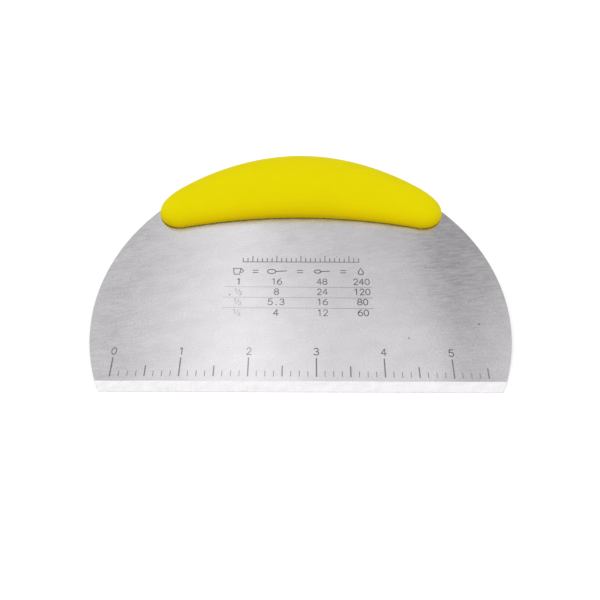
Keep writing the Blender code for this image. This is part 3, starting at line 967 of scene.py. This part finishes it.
ruler = {
    "turn": -0.27,  # degrees, the ruler sits a little askew on the blade
    "bowRadius": 6000.0,  # and its ends hang very slightly
    "start": -70.35,
    "pitch": 3.175,  # an eighth of an inch
    "count": 45,
    "base": 5.9,
    # top, width and fade of the long ticks, the half ones and the rest
    "long": (14.05, 0.50, 0.20),
    "half": (10.6, 0.48, 0.22),
    "short": (8.4, 0.32, 0.38),
    "uneven": (-0.10, 0.14),  # how much the ticks' wear differs
    "digitMiddle": 16.75,
    "digitHeight": 2.95,
    "digitWidth": 0.36,
    "digitFade": 0.08,
}

table = {
    "columns": (-25.2, -9.8, 8.6, 24.6),
    "lineWidths": (0.42, 0.36, 0.35, 0.38),
    "fades": (0.04, 0.12, 0.12, 0.06),
    # height, wear of the row's first number, and its numbers
    "rows": (
        (49.8, 0.0, ("1", "16", "48", "240")),
        (44.7, 0.76, ("1/2", "8", "24", "120")),
        (39.7, 0.84, ("1/3", "5.3", "16", "80")),
        (34.5, 0.90, ("1/4", "4", "12", "60")),
    ),
    "digitHeight": 2.9,
    "rules": (47.0, 41.8, 36.7),
    "ruleSpan": (-31.0, 28.7),
    "ruleSteps": 14,
    "ruleDrop": 0.28,  # each rule falls this much from end to end
    "ruleWidth": 0.21,
    "ruleFades": (1.0, 0.12),  # at its left end and its right one
    "header": 55.0,
    "cup": -26.2,
    "equals": (-18.6, -0.4, 17.4),
    # each sign of the header, its size and its lines' width
    "signs": (
        ("cup", 1.0, 0.34),
        ("spoon", 1.0, 0.42),
        ("spoon", 0.78, 0.48),
        ("drop", 1.0, 0.46),
        *3 * (("equals", 1.0, 0.37),),
    ),
    "headerFade": 0.10,
    "scaleBase": 60.0,  # a plain scale of two-millimetre steps stands above the header
    "scaleSpan": (-24.0, 24.0),
    "scaleStep": 2.0,
    "scaleTicks": (1.9, 3.1),
    "scaleWidth": 0.36,
    "scaleFade": 0.14,
}

rng = np.random.default_rng(marks["seed"])


def arcPath(x, y, across, up, start, end, steps=18):
    # Part of an ellipse: (x + across cos t, y + up sin t)
    turns = np.radians(np.linspace(start, end, steps))
    return np.column_stack((x + across * np.cos(turns), y + up * np.sin(turns)))


cellWidth = 0.64

# Each digit's strokes in a cell that is 1 high
glyphs = {
    "0": [arcPath(0.32, 0.5, 0.30, 0.5, 0, 360)],
    "1": [[(0.14, 0.82), (0.36, 1.0)], [(0.36, 1.0), (0.36, 0.0)]],
    "2": [
        np.vstack((arcPath(0.32, 0.72, 0.26, 0.28, 170, -40), [(0.08, 0.03)])),
        [(0.05, 0.0), (0.60, 0.0)],
    ],
    "3": [
        arcPath(0.30, 0.745, 0.26, 0.255, 150, -90),
        arcPath(0.30, 0.245, 0.32, 0.245, 90, -150),
    ],
    "4": [[(0.46, 0.0), (0.46, 1.0)], [(0.46, 1.0), (0.0, 0.30)], [(0.0, 0.30), (0.64, 0.30)]],
    "5": [
        [(0.58, 1.0), (0.12, 1.0)],
        [(0.12, 1.0), (0.07, 0.53)],
        arcPath(0.30, 0.32, 0.31, 0.32, 138, -150),
    ],
    "6": [
        arcPath(0.62, 0.31, 0.61, 0.69, 100, 180),
        arcPath(0.32, 0.31, 0.31, 0.31, 0, 360),
    ],
    "8": [
        arcPath(0.32, 0.75, 0.26, 0.25, 0, 360),
        arcPath(0.32, 0.26, 0.31, 0.26, 0, 360),
    ],
    ".": [[(0.28, 0.02), (0.36, 0.02)]],
}

# A fraction's size, its lines' and its slash's widths, and its places as shares of the height
fraction = {
    "size": 0.58,
    "width": 0.8,
    "slashWidth": 0.7,
    "over": (-0.34, 0.24),
    "under": (0.34, -0.26),
    "slash": ((-0.22, -0.42), (0.24, 0.46)),
}

# The header's signs, in mm round their middles
ball = arcPath(0.0, -0.5, 1.05, 1.05, 150, 390)
signs = {
    "cup": [
        [(-1.7, 1.5), (1.7, 1.5)],
        [(-1.5, 1.5), (-1.1, -1.5)],
        [(-1.1, -1.5), (1.1, -1.5)],
        [(1.1, -1.5), (1.5, 1.5)],
        arcPath(1.4, 0.3, 1.2, 0.9, 80, -80),
    ],
    "spoon": [arcPath(-2.2, 0.0, 1.7, 1.1, 0, 360), [(-0.4, 0.0), (4.0, 0.3)]],
    "drop": [np.vstack((ball, [(0.0, 1.9)], ball[:1]))],
    "equals": [[(-1.05, -0.6), (1.05, -0.6)], [(-1.05, 0.6), (1.05, 0.6)]],
}


def stroke(path, width, lift):
    # A thin bar along the path, half the width to both sides. Its ends narrow as half circles,
    # and a path that ends where it starts is joined up
    path = np.asarray(path, float)
    closed = len(path) > 2 and np.allclose(path[0], path[-1])
    if closed:
        path = path[:-1]
        ahead = np.roll(path, -1, axis=0) - np.roll(path, 1, axis=0)
        half = np.full(len(path), width / 2)
    else:
        ahead = np.gradient(path, axis=0)
        tip = np.radians(marks["tipTurns"])
        first, last = (ahead[n] / np.linalg.norm(ahead[n]) * width / 2 for n in (0, -1))
        head = path[0] - np.sin(tip)[:, None] * first
        tail = path[-1] + np.sin(tip)[::-1, None] * last
        ends = np.cos(tip) * width / 2
        half = np.concatenate((ends, np.full(len(path), width / 2), ends[::-1]))
        count = len(tip)
        ahead = np.concatenate((ahead[:1].repeat(count, 0), ahead, ahead[-1:].repeat(count, 0)))
        path = np.concatenate((head, path, tail))
    ahead /= np.linalg.norm(ahead, axis=1)[:, None]
    side = np.column_stack((-ahead[:, 1], ahead[:, 0])) * half[:, None]
    face = blade["thickness"] / 2
    high, low = face + lift, face - marks["sink"]
    corners = ((path + side, high), (path - side, high), (path - side, low), (path + side, low))
    points = np.stack([np.insert(xy, 2, z, axis=1) for xy, z in corners], axis=1)
    size = 4 * len(path)
    quads = (gridQuads(len(path) + closed, 4, closed=True) % size).tolist()
    caps = [] if closed else [[3, 2, 1, 0], [size - 4, size - 3, size - 2, size - 1]]
    return points.reshape(-1, 3), quads + caps


def addMarks(name, strokes):
    # strokes are (path, width, fade at its start, fade at its end)
    points, faces, fades = [], [], []
    start = 0
    for number, (path, width, fadeFrom, fadeTo) in enumerate(strokes):
        lift = marks["rise"] + marks["stagger"] * (number % marks["levels"])
        corners, quads = stroke(path, width, lift)
        faces += [[index + start for index in face] for face in quads]
        start += len(corners)
        points.append(corners)
        fades.append(np.linspace(fadeFrom, fadeTo, len(corners)))
    mesh = buildMesh(name, np.concatenate(points), faces, (etchedMarks,))
    addField(mesh, "fade", np.concatenate(fades))
    piece = addPiece(name, mesh)
    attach(piece, "root")
    return piece


def writeNumber(text, centre, height, width, fade):
    # Digits side by side around the centre, a fraction as two small ones beside a slash
    x, y = centre
    if "/" in text:
        over, under = text.split("/")
        spots = (fraction["over"], fraction["under"], *fraction["slash"])
        overSpot, underSpot, *slash = [(x + a * height, y + b * height) for a, b in spots]
        small = (fraction["size"] * height, fraction["width"] * width, fade)
        strokes = writeNumber(over, overSpot, *small) + writeNumber(under, underSpot, *small)
        return strokes + [(slash, fraction["slashWidth"] * width, fade, fade)]
    strokes = []
    for place, digit in enumerate(text):
        middle = x + (place - (len(text) - 1) / 2) * marks["advance"] * height
        corner = (middle - cellWidth / 2 * height, y - height / 2)
        worn = fade + rng.uniform(-marks["uneven"], marks["uneven"])
        paths = [np.array(path) * height + corner for path in glyphs[digit]]
        strokes += [(path, width, worn, worn) for path in paths]
    return strokes


def askew(path):
    # Turns a path of the ruler about the middle of its base, and lets it hang by x² / (2 radius)
    turn = math.radians(ruler["turn"])
    spin = np.array(((math.cos(turn), math.sin(turn)), (-math.sin(turn), math.cos(turn))))
    middle = np.array((0.0, ruler["base"]))
    turned = (np.asarray(path, float) - middle) @ spin + middle
    turned[:, 1] -= turned[:, 0] ** 2 / (2 * ruler["bowRadius"])
    return turned


def makeRuler():
    # A tick each eighth of an inch, a longer one each half, and a long one with a digit each inch
    strokes = []
    for number in range(ruler["count"]):
        kind = "short" if number % 4 else "half" if number % 8 else "long"
        top, width, fade = ruler[kind]
        x = ruler["start"] + ruler["pitch"] * number
        wear = marks["wear"] * math.exp(-(((x - marks["wearSpot"]) / marks["wearReach"]) ** 2))
        low, high = np.clip(fade + wear + rng.uniform(*ruler["uneven"], 2), 0.0, 1.0)
        tick = [(x, ruler["base"] + width / 2), (x, top - width / 2)]
        strokes.append((tick, width, low, high))
        if kind == "long":
            size = (ruler["digitHeight"], ruler["digitWidth"], ruler["digitFade"] + wear)
            strokes += writeNumber(str(number // 8), (x, ruler["digitMiddle"]), *size)
    return addMarks("ruler_marks", [(askew(path), *rest) for path, *rest in strokes])


def headerStrokes():
    # A cup, a big spoon, a small spoon and a drop, with signs of equality between them
    places = (table["cup"], *table["columns"][1:], *table["equals"])
    fade = table["headerFade"]
    return [
        (np.array(path) * size + (x, table["header"]), width, fade, fade)
        for x, (sign, size, width) in zip(places, table["signs"])
        for path in signs[sign]
    ]


def scaleStrokes():
    # Ticks on a base line, with the middle one and every fifth from it taller
    low, high = table["scaleSpan"]
    base, width, fade = table["scaleBase"], table["scaleWidth"], table["scaleFade"]
    short, tall = table["scaleTicks"]
    paths = [[(low, base), (high, base)]]
    for number, x in enumerate(np.arange(low, high + 1, table["scaleStep"])):
        paths.append([(x, base), (x, base + (tall if number % 5 == 2 else short))])
    return [(path, width, fade, fade) for path in paths]


def makeTable():
    # The header and the scale, rows of numbers, and rules that fall a little to the right
    strokes = headerStrokes() + scaleStrokes()
    for y, wear, numbers in table["rows"]:
        places = zip(table["columns"], numbers, table["lineWidths"], table["fades"])
        for x, number, width, fade in places:
            strokes += writeNumber(number, (x, y), table["digitHeight"], width, fade + wear)
            wear = 0.0
    drop, steps = table["ruleDrop"] / 2, table["ruleSteps"]
    x = np.linspace(*table["ruleSpan"], steps)
    for y in table["rules"]:
        path = np.column_stack((x, np.linspace(y + drop, y - drop, steps)))
        strokes.append((path, table["ruleWidth"], *table["ruleFades"]))
    return addMarks("table_marks", strokes)


rulerMarks = makeRuler()
tableMarks = makeTable()
print("marks made:", len(rulerMarks.data.polygons) + len(tableMarks.data.polygons), "faces")


# What the grip hides keeps its modelled shape and gets a finish of its own
for name, node in frame["nodes"].items():
    for kind, finish in (("rivet", rivetSteel), ("core", corePlastic)):
        if name.startswith(kind):
            for slot in node.material_slots:
                slot.material = finish
print("hidden pieces finished")
